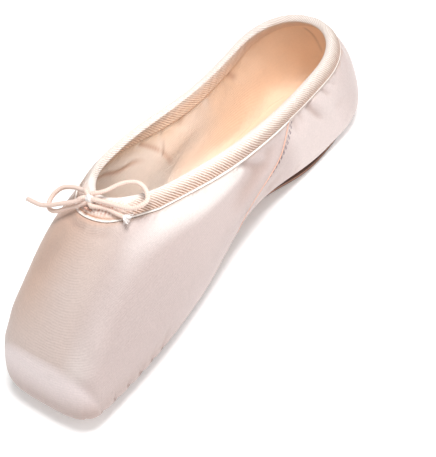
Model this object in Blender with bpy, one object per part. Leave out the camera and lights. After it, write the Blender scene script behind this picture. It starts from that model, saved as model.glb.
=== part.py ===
"""A satin pointe shoe, standing empty on its sole. Metres, +Z up, toe towards -Y, wearer's left at +X.

The upper is one hollow shell, open at the collar and under the foot. It is lofted through closed rings that
run round the shoe, from the edge turned in under the insole up to the collar. Each ring is a row of shares of
the named sizes. The binding, the insole and the outsole are cut from the same rings.
"""
import math

import bmesh
import bpy
import numpy as np

# Driving sizes of the last
LENGTH = 0.238
BALL_WIDTH = 0.070
PLATFORM_WIDTH = 0.054
PLATFORM_HEIGHT = 0.0295
WAIST_WIDTH = 0.057
HEEL_WIDTH = 0.059
VAMP_LENGTH = 0.076
THROAT_HEIGHT = 0.070
SIDE_HEIGHT = 0.048
HEEL_HEIGHT = 0.048
TOE_SPRING = 0.0022
ARCH = 0.0080

# Walls and pieces
BOX_WALL = 0.0028
QUARTER_WALL = 0.0014
SEAM_STEP = 0.0007
SEAM_RUN = 0.0012
BINDING_WIDTH = 0.0080
BINDING_FRONT = 0.0110
BINDING_BLEND = 0.035
BINDING_THICKNESS = 0.0007
OUTSOLE_THICKNESS = 0.0026
OUTSOLE_BEVEL = 0.0006
OUTSOLE_MARGIN = 0.0015
INSOLE_THICKNESS = 0.0014
CLEARANCE = 0.0004

# Where the sole touches the floor, as shares of the length from the toe
FOREFOOT_FLAT = (0.16, 0.35)
HEEL_FLAT = (0.80, 0.96)

# Columns of the shell, as shares of the way from the front to the side seam and from there to the back
FRONT_SPACING = (
    0.0, 0.06, 0.115, 0.155, 0.185, 0.215, 0.255, 0.31, 0.37, 0.44, 0.51, 0.58, 0.66, 0.74, 0.82, 0.91, 1.0,
)
BACK_SPACING = (0.0, 0.11, 0.22, 0.33, 0.44, 0.54, 0.62, 0.69, 0.75, 0.81, 0.87, 0.935, 1.0)
FRONT_COLUMNS = len(FRONT_SPACING) - 1
BACK_COLUMNS = len(BACK_SPACING) - 1
ROWS_PER_RING = 3
VAMP_ROWS = 5

# One row for each ring. front: share of the vamp length. back: share of the length. toe, ball, waist and heel:
# half widths as shares of the platform, ball, waist and heel widths. toe_z and rise_z: height of the front end
# as shares of the platform height and of the climb from there to the throat. ball_z, waist_z and heel_z: shares
# of the throat, side and heel heights. lift: how far the ring follows the sole's own curve. end and square:
# length of the rounded front end as a share of the platform width, and how square it is. crowd: how far the
# columns ahead of the side seam gather towards the front.
RING_COLUMNS = (
    "front", "back", "toe", "ball", "waist", "heel",
    "toe_z", "rise_z", "ball_z", "waist_z", "heel_z", "lift", "end", "square", "crowd",
)
RINGS = (
    ("lasting edge", 0.440, 0.895, 0.22, 0.270, 0.235, 0.255, 0.000, 0.00, 0.000, 0.00, 0.00, 1.00, 0.30, 2.2, 1.00),
    ("sole seam", 0.280, 0.945, 0.36, 0.335, 0.325, 0.380, 0.000, 0.00, 0.000, 0.00, 0.00, 1.00, 0.30, 2.4, 1.00),
    ("bottom turn", 0.050, 0.984, 0.490, 0.405, 0.405, 0.470, 0.045, 0.00, 0.030, 0.05, 0.045, 1.00, 0.28, 3.2, 1.00),
    ("lower side", 0.010, 0.998, 0.53, 0.460, 0.465, 0.498, 0.220, 0.00, 0.165, 0.23, 0.24, 0.75, 0.24, 3.6, 1.00),
    ("upper side", 0.110, 0.998, 0.50, 0.488, 0.500, 0.500, 0.900, 0.00, 0.380, 0.49, 0.57, 0.30, 0.24, 3.4, 1.05),
    ("box shoulder", 0.175, 0.992, 0.47, 0.485, 0.495, 0.490, 1.130, 0.00, 0.565, 0.68, 0.75, 0.00, 0.28, 2.9, 1.20),
    ("vamp", 0.560, 0.980, 0.42, 0.440, 0.480, 0.475, 1.000, 0.62, 0.720, 0.85, 0.89, 0.00, 0.40, 2.4, 1.55),
    ("collar", 1.000, 0.966, 0.28, 0.345, 0.462, 0.450, 1.000, 1.00, 0.840, 1.00, 1.00, 0.00, 0.42, 2.2, 1.60),
)
# Where along a ring, front to back, its ball, waist and heel widths are reached. HEEL_END: length of the rounded
# back end as a share of the length. HALF_RING: about how long half a ring is, as a share of the length.
STATIONS = (0.0, 0.26, 0.52, 0.88, 1.0)
HEIGHT_STATIONS = (0.0, 0.30, 0.58, 1.0)
HEEL_END = 0.125
HEEL_SQUARE = 2.1
HALF_RING = 1.25

# The side seam, from the collar down to the sole: share of the half ring, front to back
SEAM_COLUMNS = ("ring", "along")
SEAM = ((0.0, 0.500), (2.0, 0.510), (3.0, 0.540), (4.0, 0.620), (5.0, 0.660), (6.0, 0.655), (7.0, 0.632))

# Outline of the outsole: share of the length, and half width as a share of the named width beside it
OUTSOLE_COLUMNS = ("along", "half", "width")
OUTSOLE = (
    (0.125, 0.000, BALL_WIDTH),
    (0.150, 0.210, BALL_WIDTH),
    (0.230, 0.300, BALL_WIDTH),
    (0.340, 0.325, BALL_WIDTH),
    (0.460, 0.330, WAIST_WIDTH),
    (0.600, 0.315, WAIST_WIDTH),
    (0.710, 0.395, HEEL_WIDTH),
    (0.800, 0.410, HEEL_WIDTH),
    (0.880, 0.355, HEEL_WIDTH),
    (0.952, 0.000, HEEL_WIDTH),
)

# The drawstring: a knot on the binding at the middle of the throat, two loops and two ends. The points are
# in metres in the shoe's own frame, and a smooth curve runs through them.
CORD_DIAMETER = 0.0022
CORD_STEP = 0.0052
KNOT_CENTRE = (-0.0018, -0.0470, 0.0757)
KNOT_RADIUS = 0.0026
CORD_ROUTES = {
    "drawstring_loop_left": (
        (-0.0040, -0.0492, 0.0738),
        (-0.0075, -0.0508, 0.0723),
        (-0.0128, -0.0531, 0.0707),
        (-0.0183, -0.0556, 0.0687),
        (-0.0225, -0.0562, 0.0680),
        (-0.0254, -0.0549, 0.0682),
        (-0.0266, -0.0521, 0.0691),
        (-0.0254, -0.0484, 0.0710),
        (-0.0225, -0.0456, 0.0725),
        (-0.0180, -0.0445, 0.0738),
        (-0.0132, -0.0440, 0.0748),
        (-0.0086, -0.0446, 0.0758),
        (-0.0047, -0.0453, 0.0776),
    ),
    "drawstring_loop_right": (
        (0.0000, -0.0450, 0.0778),
        (0.0028, -0.0434, 0.0780),
        (0.0053, -0.0404, 0.0779),
        (0.0086, -0.0357, 0.0782),
        (0.0121, -0.0327, 0.0780),
        (0.0156, -0.0313, 0.0775),
        (0.0190, -0.0316, 0.0765),
        (0.0218, -0.0332, 0.0755),
        (0.0237, -0.0359, 0.0743),
        (0.0229, -0.0389, 0.0739),
        (0.0202, -0.0420, 0.0738),
        (0.0155, -0.0440, 0.0746),
        (0.0098, -0.0454, 0.0757),
        (0.0052, -0.0464, 0.0763),
        (0.0012, -0.0471, 0.0763),
    ),
    "drawstring_end_left": (
        (-0.0046, -0.0486, 0.0765),
        (-0.0078, -0.0510, 0.0752),
        (-0.0131, -0.0531, 0.0739),
        (-0.0215, -0.0560, 0.0717),
        (-0.0283, -0.0570, 0.0701),
        (-0.0339, -0.0566, 0.0693),
        (-0.0380, -0.0562, 0.0688),
    ),
    "drawstring_end_right": (
        (0.0007, -0.0493, 0.0741),
        (0.0036, -0.0482, 0.0737),
        (0.0071, -0.0470, 0.0731),
        (0.0110, -0.0466, 0.0723),
        (0.0142, -0.0464, 0.0714),
        (0.0169, -0.0462, 0.0709),
    ),
}


def clear_scene():
    for obj in list(bpy.data.objects):
        bpy.data.objects.remove(obj, do_unlink=True)


def material(name, colour, roughness, metallic=0.0):
    made = bpy.data.materials.new(name)
    made.use_nodes = True
    shader = made.node_tree.nodes["Principled BSDF"]
    shader.inputs["Base Color"].default_value = (*colour, 1.0)
    shader.inputs["Roughness"].default_value = roughness
    shader.inputs["Metallic"].default_value = metallic
    return made


def spline(knots, points, at):
    """Natural cubic through the points, one for each knot, read at the given places."""
    knots = np.asarray(knots, float)
    points = np.asarray(points, float)
    flat = points.ndim == 1
    if flat:
        points = points[:, None]
    count = len(knots)
    gap = np.diff(knots)
    system = np.eye(count)
    right = np.zeros_like(points)
    for i in range(1, count - 1):
        system[i, i - 1:i + 2] = gap[i - 1], 2 * (gap[i - 1] + gap[i]), gap[i]
        right[i] = 6 * ((points[i + 1] - points[i]) / gap[i] - (points[i] - points[i - 1]) / gap[i - 1])
    bend = np.linalg.solve(system, right)
    at = np.clip(np.asarray(at, float), knots[0], knots[-1])
    i = np.clip(np.searchsorted(knots, at, side="right") - 1, 0, count - 2)
    a = ((knots[i + 1] - at) / gap[i])[:, None]
    b = ((at - knots[i]) / gap[i])[:, None]
    h = gap[i][:, None]
    out = a * points[i] + b * points[i + 1] + ((a**3 - a) * bend[i] + (b**3 - b) * bend[i + 1]) * h * h / 6
    return out[:, 0] if flat else out


def smooth(x):
    x = np.clip(x, 0.0, 1.0)
    return x * x * (3 - 2 * x)


def sole_curve(y):
    """Height of the underside above the floor at y from the toe: toe spring, flat, arch, flat."""
    share = np.asarray(y, float) / LENGTH
    toe = TOE_SPRING * smooth((FOREFOOT_FLAT[0] - share) / FOREFOOT_FLAT[0])
    span = HEEL_FLAT[0] - FOREFOOT_FLAT[1]
    inside = np.clip((share - FOREFOOT_FLAT[1]) / span, 0.0, 1.0)
    return toe + ARCH * np.sin(math.pi * inside) ** 2


def ring_points(row, along):
    """Half a ring, from the front centre to the back centre, at the given shares of its length."""
    r = dict(zip(RING_COLUMNS, row[1:]))
    around = (1 - np.cos(np.linspace(0, math.pi, 500))) / 2
    front = r["front"] * VAMP_LENGTH
    back = r["back"] * LENGTH
    y = front + (back - front) * around
    widths = (
        r["toe"] * PLATFORM_WIDTH,
        r["ball"] * BALL_WIDTH,
        r["waist"] * WAIST_WIDTH,
        r["heel"] * HEEL_WIDTH,
        r["heel"] * HEEL_WIDTH,
    )
    half = spline(STATIONS, widths, around)
    nose = np.clip((y - front) / (r["end"] * PLATFORM_WIDTH), 0, 1)
    tail = np.clip((back - y) / (HEEL_END * LENGTH), 0, 1)
    half = half * (1 - (1 - nose) ** r["square"]) ** (1 / r["square"])
    half = half * (1 - (1 - tail) ** HEEL_SQUARE) ** (1 / HEEL_SQUARE)
    front_z = r["toe_z"] * PLATFORM_HEIGHT + r["rise_z"] * (THROAT_HEIGHT - PLATFORM_HEIGHT)
    heights = (front_z, r["ball_z"] * THROAT_HEIGHT, r["waist_z"] * SIDE_HEIGHT, r["heel_z"] * HEEL_HEIGHT)
    z = spline(HEIGHT_STATIONS, heights, around)
    z = z + OUTSOLE_THICKNESS + CLEARANCE + r["lift"] * sole_curve(y)
    points = np.stack([half, y, z], axis=1)
    run = np.concatenate([[0], np.cumsum(np.linalg.norm(np.diff(points, axis=0), axis=1))])
    at = np.asarray(along) * run[-1]
    return np.stack([np.interp(at, run, points[:, k]) for k in range(3)], axis=1)


def half_shell():
    """The outer surface of one side as rows of points, sole to collar, and the weight of the seam's step."""
    seam_at = spline([s[0] for s in SEAM], [s[1] for s in SEAM], np.arange(len(RINGS)))
    rings = []
    for row, seam in zip(RINGS, seam_at):
        crowd = row[1 + RING_COLUMNS.index("crowd")]
        ahead = seam * np.array(FRONT_SPACING) ** crowd
        start = seam + SEAM_RUN / (HALF_RING * LENGTH)
        behind = start + (1 - start) * np.array(BACK_SPACING)
        rings.append(ring_points(row, np.concatenate([ahead, behind])))
    rings = np.stack(rings)
    last = len(RINGS) - 1
    side = last - 2
    places = np.linspace(0, side, side * ROWS_PER_RING + 1)
    rim = np.gradient(rings[-1], axis=0)
    rim[0] = (1, 0, 0)
    rim[-1] = (-1, 0, 0)
    rim = rim / np.linalg.norm(rim, axis=1, keepdims=True)
    collar = np.concatenate([[0], np.cumsum(np.linalg.norm(np.diff(rings[-1], axis=0), axis=1))])
    widths = BINDING_FRONT + (BINDING_WIDTH - BINDING_FRONT) * smooth(collar / BINDING_BLEND)
    columns = []
    for j in range(rings.shape[1]):
        points = rings[:, j]
        step = np.sqrt(np.linalg.norm(np.diff(points, axis=0), axis=1)) + 1e-6
        knots = np.concatenate([[0], np.cumsum(step)])
        lower = spline(knots, points, np.interp(places, np.arange(last + 1), knots))
        top = spline(knots, points, np.linspace(knots[side], knots[-1], 120))
        run = np.concatenate([[0], np.cumsum(np.linalg.norm(np.diff(top, axis=0), axis=1))])
        rise = top[-1] - top[-16]
        rise = rise / np.linalg.norm(rise)
        tape = widths[j] / max(np.linalg.norm(np.cross(rise, rim[j])), 0.5)
        climb = np.linspace(0, run[-1] - tape, VAMP_ROWS + 1)[1:]
        at = np.concatenate([climb, [run[-1] - tape / 2, run[-1]]])
        upper = np.stack([np.interp(at, run, top[:, k]) for k in range(3)], axis=1)
        columns.append(np.concatenate([lower, upper]))
    shell = np.stack(columns, axis=1)
    seat = OUTSOLE_THICKNESS + CLEARANCE + sole_curve(shell[..., 1])
    shell[..., 2] = np.maximum(shell[..., 2], seat)
    ahead = np.zeros(shell.shape[:2])
    ahead[:, :FRONT_COLUMNS + 1] = smooth((np.arange(len(shell)) / ROWS_PER_RING - 1.3) / 1.7)[:, None]
    ahead[-3:] = 0.0
    return shell, ahead


def whole(half):
    """Both sides of rows that run from the front centre to the back centre."""
    other = half[:, -2:0:-1].copy()
    if half.ndim == 3:
        other[..., 0] *= -1
    return np.concatenate([half, other], axis=1)


def outward(shell):
    around = np.roll(shell, -1, axis=1) - np.roll(shell, 1, axis=1)
    up = np.gradient(shell, axis=0)
    normal = np.cross(around, up)
    return normal / np.linalg.norm(normal, axis=2, keepdims=True)


def wall_of(shell):
    """Wall: stiff and thick in the box, thin in the quarters, and thin where it turns in under the foot."""
    y = shell[..., 1]
    box = 1 - smooth((y / LENGTH - 0.20) / 0.22)
    rows = np.linspace(0, 1, shell.shape[0])[:, None]
    rim = smooth((rows - 0.62) / 0.33)
    edge = smooth(rows / 0.12)
    return QUARTER_WALL + (BOX_WALL - QUARTER_WALL) * box * (1 - 0.75 * rim) * (0.4 + 0.6 * edge)


def centred(points):
    moved = np.array(points, float)
    moved[..., 1] -= LENGTH / 2
    return moved


def grid_object(name, grid, falling, shade):
    """One closed solid from a grid whose columns run round the shoe and whose rows close on themselves.

    falling: the bands of rows that run down the shoe. Their faces are split the same way as those of the
    band that rises beside them, so that the two stay parallel.
    """
    rows, columns = grid.shape[:2]
    made = bmesh.new()
    verts = [[made.verts.new(p) for p in line] for line in centred(grid)]
    for i in range(rows):
        low = verts[i]
        high = verts[(i + 1) % rows]
        for j in range(columns):
            k = (j + 1) % columns
            if (i in falling) == (j < columns // 2):
                made.faces.new((low[j], low[k], high[j]))
                made.faces.new((low[k], high[k], high[j]))
            else:
                made.faces.new((low[j], low[k], high[k]))
                made.faces.new((low[j], high[k], high[j]))
    return finished(name, made, shade)


def finished(name, made, shade):
    bmesh.ops.recalc_face_normals(made, faces=made.faces)
    mesh = bpy.data.meshes.new(name)
    made.to_mesh(mesh)
    made.free()
    mesh.shade_smooth()
    mesh.set_sharp_from_angle(angle=math.radians(50))
    mesh.materials.append(shade)
    obj = bpy.data.objects.new(name, mesh)
    bpy.context.scene.collection.objects.link(obj)
    return obj


def make_upper(shell, normal, wall, ahead, shade):
    outer = shell + normal * (SEAM_STEP * ahead)[..., None]
    inner = shell - normal * wall[..., None]
    falling = range(len(outer), 2 * len(outer) - 1)
    return outer, inner, grid_object("upper", np.concatenate([outer, inner[::-1]]), falling, shade)


def make_binding(outer, inner, normal, shade):
    """Tape folded over the rim: an outer leg, the fold and an inner leg."""
    rows = slice(-3, None)
    near = CLEARANCE
    far = CLEARANCE + BINDING_THICKNESS
    up = outer[-1] - outer[-2]
    up = up / np.linalg.norm(up, axis=1, keepdims=True)
    out_face = outer[rows] + normal[rows] * far
    out_back = outer[rows] + normal[rows] * near
    in_face = inner[rows] - normal[rows] * far
    in_back = inner[rows] - normal[rows] * near
    middle = (outer[-1] + inner[-1]) / 2
    fold = np.stack([
        out_face[-1] + up * far * 0.6,
        middle + up * (far + BINDING_THICKNESS * 0.5),
        in_face[-1] + up * far * 0.6,
    ])
    hollow = np.stack([in_back[-1] + up * near, out_back[-1] + up * near])
    grid = np.concatenate([out_face, fold, in_face[::-1], in_back, hollow, out_back[::-1]])
    falling = (6, 7, 12, 14, 15)
    return grid_object("collar_binding", grid, falling, shade)


def outline(count):
    """Right half of the outsole's edge, from its front centre to its back centre."""
    along = np.array([row[0] for row in OUTSOLE]) * LENGTH
    half = np.array([row[1] * row[2] for row in OUTSOLE])
    points = np.stack([half, along], axis=1)
    step = np.sqrt(np.linalg.norm(np.diff(points, axis=0), axis=1))
    knots = np.concatenate([[0], np.cumsum(step)])
    smooth_line = spline(knots, points, np.linspace(0, knots[-1], 400))
    smooth_line[:, 0] = np.maximum(smooth_line[:, 0], 0)
    smooth_line[[0, -1], 0] = 0
    run = np.concatenate([[0], np.cumsum(np.linalg.norm(np.diff(smooth_line, axis=0), axis=1))])
    at = np.linspace(0, run[-1], count)
    return np.stack([np.interp(at, run, smooth_line[:, k]) for k in range(2)], axis=1)


def plate(name, edge, low, high, edges, shade):
    """A flat piece with a shaped edge. edge: half outline. low, high: heights as functions of y.

    edges: rows of (share of the half width, share of the thickness) round its section, bottom to top.
    """
    rows = []
    for inset, level in edges:
        centre = (edge[0, 1] + edge[-1, 1]) / 2
        y = edge[:, 1] + (centre - edge[:, 1]) * inset / ((edge[-1, 1] - edge[0, 1]) / 2)
        reach = np.maximum(np.abs(edge[:, 0]), 1e-9)
        x = edge[:, 0] * np.maximum(reach - inset, 0) / reach
        z = low(y) + (high(y) - low(y)) * level
        rows.append(np.stack([x, y, z], axis=1))
    rows = np.stack(rows)
    made = bmesh.new()
    loops = [[made.verts.new(p) for p in line] for line in centred(whole(rows))]
    count = len(loops[0])
    for lower, upper in zip(loops, loops[1:]):
        for j in range(count):
            k = (j + 1) % count
            made.faces.new((lower[j], lower[k], upper[k], upper[j]))
    half = len(edge)
    for loop in (loops[0], loops[-1]):
        for j in range(half - 1):
            right = (loop[j], loop[j + 1])
            left = (loop[-(j + 1) % count], loop[-j % count])
            made.faces.new(list(dict.fromkeys((*right, *left))))
    return finished(name, made, shade)


def outsole_profile():
    bevel = OUTSOLE_BEVEL / OUTSOLE_THICKNESS
    return (
        (OUTSOLE_MARGIN + OUTSOLE_BEVEL, 0.0),
        (OUTSOLE_BEVEL, 0.0),
        (0.0, bevel),
        (0.0, 1 - bevel),
        (OUTSOLE_BEVEL, 1.0),
        (OUTSOLE_MARGIN + OUTSOLE_BEVEL, 1.0),
    )


def make_outsole(shade):
    def low(y):
        return sole_curve(y)

    def high(y):
        return sole_curve(y) + OUTSOLE_THICKNESS

    return plate("outsole", outline(44), low, high, outsole_profile(), shade)


def make_insole(inner, shade):
    """The sock over the lasting edge, a little narrower than the seam ring below it."""
    row = ROWS_PER_RING
    half = inner[row, :FRONT_COLUMNS + BACK_COLUMNS + 2, :2].copy()
    half[:, 0] = np.maximum(half[:, 0] - CLEARANCE * 2, 0)
    middle = (half[0, 1] + half[-1, 1]) / 2
    half[:, 1] = middle + (half[:, 1] - middle) * (1 - 2 * CLEARANCE / (half[-1, 1] - half[0, 1]))
    half[[0, -1], 0] = 0
    top = inner[:row + 1, :, 2].max(axis=0)[:len(half)]
    base = np.interp(np.linspace(0, LENGTH, 160), inner[row, :len(half), 1], top)
    base = np.maximum(base, OUTSOLE_THICKNESS + CLEARANCE + QUARTER_WALL)

    def low(y):
        return np.interp(y, np.linspace(0, LENGTH, 160), base) + CLEARANCE

    def high(y):
        return low(y) + INSOLE_THICKNESS

    return plate("insole", half, low, high, ((0.0, 0.0), (0.0, 1.0)), shade)


def make_cord(name, route, shade):
    """A round cord on a smooth curve through the route's points."""
    points = np.array(route)
    knots = np.concatenate([[0], np.cumsum(np.linalg.norm(np.diff(points, axis=0), axis=1))])
    count = max(4, int(round(knots[-1] / CORD_STEP)) + 1)
    line = spline(knots, points, np.linspace(0, knots[-1], count))
    curve = bpy.data.curves.new(name, "CURVE")
    curve.dimensions = "3D"
    curve.bevel_depth = CORD_DIAMETER / 2
    curve.bevel_resolution = 2
    curve.use_fill_caps = True
    run = curve.splines.new("POLY")
    run.points.add(count - 1)
    for point, place in zip(run.points, line):
        point.co = (*place, 1.0)
    curve.materials.append(shade)
    obj = bpy.data.objects.new(name, curve)
    bpy.context.scene.collection.objects.link(obj)


def make_knot(shade):
    made = bmesh.new()
    bmesh.ops.create_uvsphere(made, u_segments=14, v_segments=9, radius=KNOT_RADIUS)
    obj = finished("drawstring_knot", made, shade)
    obj.location = KNOT_CENTRE


clear_scene()
SATIN = material("pale pink satin", (0.86, 0.70, 0.64), 0.38)
TAPE = material("pale pink twill tape", (0.84, 0.70, 0.66), 0.75)
LEATHER = material("brown leather", (0.23, 0.10, 0.05), 0.55)
SOCK = material("peach lining", (0.86, 0.62, 0.48), 0.85)

half, ahead_half = half_shell()
shell = whole(half)
ahead = whole(ahead_half)
normal = outward(shell)
wall = wall_of(shell)
outer, inner, upper = make_upper(shell, normal, wall, ahead, SATIN)
make_binding(outer, inner, normal, TAPE)
make_outsole(LEATHER)
make_insole(inner, SOCK)
make_knot(TAPE)
for cord_name, cord_route in CORD_ROUTES.items():
    make_cord(cord_name, cord_route, TAPE)
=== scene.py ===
"""Looks of a satin pointe shoe, standing empty on its sole: satin, tape, leather, lining and cord.

Heights, runs and places are in metres, in the shoe's own frame: the toe points to -Y and the wearer's
left is +X.
"""

import math

import bpy
import numpy as np
from mathutils import Matrix, Vector


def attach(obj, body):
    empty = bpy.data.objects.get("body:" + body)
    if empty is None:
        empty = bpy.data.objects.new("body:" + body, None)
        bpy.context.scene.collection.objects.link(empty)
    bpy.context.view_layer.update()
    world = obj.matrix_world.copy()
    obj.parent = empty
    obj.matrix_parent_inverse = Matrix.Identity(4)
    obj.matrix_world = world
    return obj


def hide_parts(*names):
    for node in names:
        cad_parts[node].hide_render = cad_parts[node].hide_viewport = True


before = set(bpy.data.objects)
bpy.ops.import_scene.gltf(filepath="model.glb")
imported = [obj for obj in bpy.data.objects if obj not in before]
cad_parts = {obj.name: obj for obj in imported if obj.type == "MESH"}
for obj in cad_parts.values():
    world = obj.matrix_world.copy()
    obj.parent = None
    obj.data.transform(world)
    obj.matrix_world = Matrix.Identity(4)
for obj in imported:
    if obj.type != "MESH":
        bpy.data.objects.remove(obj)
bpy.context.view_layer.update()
COLLECTION = bpy.context.scene.collection

# Sizes of the shoe, as its solids have them
LENGTH = 0.238
BALL_WIDTH = 0.070
PLATFORM_WIDTH = 0.054
PLATFORM_HEIGHT = 0.0295
WAIST_WIDTH = 0.057
HEEL_WIDTH = 0.059
VAMP_LENGTH = 0.076
THROAT_HEIGHT = 0.070
SIDE_HEIGHT = 0.048
HEEL_HEIGHT = 0.048
TOE_SPRING = 0.0022
ARCH = 0.0080
BOX_WALL = 0.0028
QUARTER_WALL = 0.0014
SEAM_STEP = 0.0007
SEAM_RUN = 0.0012
BINDING_WIDTH = 0.0080
BINDING_FRONT = 0.0110
BINDING_BLEND = 0.035
OUTSOLE_THICKNESS = 0.0026
OUTSOLE_BEVEL = 0.0006
OUTSOLE_MARGIN = 0.0015
INSOLE_THICKNESS = 0.0014
CLEARANCE = 0.0004
FOREFOOT_FLAT = (0.16, 0.35)
HEEL_FLAT = (0.80, 0.96)
FRONT_SPACING = (
    0.0, 0.06, 0.115, 0.155, 0.185, 0.215, 0.255, 0.31, 0.37, 0.44, 0.51, 0.58, 0.66, 0.74, 0.82, 0.91, 1.0,
)
BACK_SPACING = (0.0, 0.11, 0.22, 0.33, 0.44, 0.54, 0.62, 0.69, 0.75, 0.81, 0.87, 0.935, 1.0)
RING_COLUMNS = (
    "front", "back", "toe", "ball", "waist", "heel",
    "toe_z", "rise_z", "ball_z", "waist_z", "heel_z", "lift", "end", "square", "crowd",
)
RINGS = (
    ("lasting edge", 0.44, 0.895, 0.22, 0.27, 0.235, 0.255, 0.0, 0.0, 0.0, 0.0, 0.0, 1.0, 0.3, 2.2, 1.0),
    ("sole seam", 0.28, 0.945, 0.36, 0.335, 0.325, 0.38, 0.0, 0.0, 0.0, 0.0, 0.0, 1.0, 0.3, 2.4, 1.0),
    ("bottom turn", 0.05, 0.984, 0.49, 0.405, 0.405, 0.47, 0.045, 0, 0.03, 0.05, 0.045, 1, 0.28, 3.2, 1),
    ("lower side", 0.01, 0.998, 0.53, 0.46, 0.465, 0.498, 0.22, 0.0, 0.165, 0.23, 0.24, 0.75, 0.24, 3.6, 1.0),
    ("upper side", 0.11, 0.998, 0.5, 0.488, 0.5, 0.5, 0.9, 0.0, 0.38, 0.49, 0.57, 0.3, 0.24, 3.4, 1.05),
    ("box shoulder", 0.175, 0.992, 0.47, 0.485, 0.495, 0.49, 1.13, 0, 0.565, 0.68, 0.75, 0, 0.28, 2.9, 1.2),
    ("vamp", 0.56, 0.98, 0.42, 0.44, 0.48, 0.475, 1.0, 0.62, 0.72, 0.85, 0.89, 0.0, 0.4, 2.4, 1.55),
    ("collar", 1.0, 0.966, 0.28, 0.345, 0.462, 0.45, 1.0, 1.0, 0.84, 1.0, 1.0, 0.0, 0.42, 2.2, 1.6),
)
STATIONS = (0.0, 0.26, 0.52, 0.88, 1.0)
HEIGHT_STATIONS = (0.0, 0.30, 0.58, 1.0)
HEEL_END = 0.125
HEEL_SQUARE = 2.1
HALF_RING = 1.25
SEAM = ((0.0, 0.500), (2.0, 0.510), (3.0, 0.540), (4.0, 0.620), (5.0, 0.660), (6.0, 0.655), (7.0, 0.632))
OUTSOLE = (
    (0.125, 0.000, BALL_WIDTH),
    (0.150, 0.210, BALL_WIDTH),
    (0.230, 0.300, BALL_WIDTH),
    (0.340, 0.325, BALL_WIDTH),
    (0.460, 0.330, WAIST_WIDTH),
    (0.600, 0.315, WAIST_WIDTH),
    (0.710, 0.395, HEEL_WIDTH),
    (0.800, 0.410, HEEL_WIDTH),
    (0.880, 0.355, HEEL_WIDTH),
    (0.952, 0.000, HEEL_WIDTH),
)

# Fine grid of the upper: columns ahead of the side seam, across it and behind it, then rows from the edge
# under the foot to the shoulder of the box, over the vamp and under the tape
FRONT_FINE = 168
RUN_FINE = 4
BACK_FINE = 112
SIDE_ROWS = 78
VAMP_FINE = 42
TAPE_FINE = 8
SEAM_COLUMN = len(FRONT_SPACING) - 1

# Ring places from the shoulder of the box up to the tape
TAPE_PLACE = 1.7

# How far the middle line of a flat piece ends before its toe and its heel, and the run of one stitch
SPINE_END = 0.022
STITCH = 0.0026

# Half the shoe's girth and half its collar as the threads are counted: whole numbers of every thread spacing
GIRTH = 0.2652
COLLAR = 0.1820

# Drawstring, as its solids lie
CORD_DIAMETER = 0.0022
KNOT_CENTRE = (-0.0018, -0.0470, 0.0757)
CORD_ROUTES = {
    "drawstring_loop_left": (
        (-0.0040, -0.0492, 0.0738), (-0.0075, -0.0508, 0.0723), (-0.0128, -0.0531, 0.0707),
        (-0.0183, -0.0556, 0.0687), (-0.0225, -0.0562, 0.0680), (-0.0254, -0.0549, 0.0682),
        (-0.0266, -0.0521, 0.0691), (-0.0254, -0.0484, 0.0710), (-0.0225, -0.0456, 0.0725),
        (-0.0180, -0.0445, 0.0738), (-0.0132, -0.0440, 0.0748), (-0.0086, -0.0446, 0.0758),
        (-0.0047, -0.0453, 0.0776),
    ),
    "drawstring_loop_right": (
        (0.0000, -0.0450, 0.0778), (0.0028, -0.0434, 0.0780), (0.0053, -0.0404, 0.0779),
        (0.0086, -0.0357, 0.0782), (0.0121, -0.0327, 0.0780), (0.0156, -0.0313, 0.0775),
        (0.0190, -0.0316, 0.0765), (0.0218, -0.0332, 0.0755), (0.0237, -0.0359, 0.0743),
        (0.0229, -0.0389, 0.0739), (0.0202, -0.0420, 0.0738), (0.0155, -0.0440, 0.0746),
        (0.0098, -0.0454, 0.0757), (0.0052, -0.0464, 0.0763), (0.0012, -0.0471, 0.0763),
    ),
    "drawstring_end_left": (
        (-0.0046, -0.0486, 0.0765), (-0.0078, -0.0510, 0.0752), (-0.0131, -0.0531, 0.0739),
        (-0.0215, -0.0560, 0.0717), (-0.0283, -0.0570, 0.0701), (-0.0339, -0.0566, 0.0693),
        (-0.0380, -0.0562, 0.0688),
    ),
    "drawstring_end_right": (
        (0.0007, -0.0493, 0.0741), (0.0036, -0.0482, 0.0737), (0.0071, -0.0470, 0.0731),
        (0.0110, -0.0466, 0.0723), (0.0142, -0.0464, 0.0714), (0.0169, -0.0462, 0.0709),
    ),
}

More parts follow.
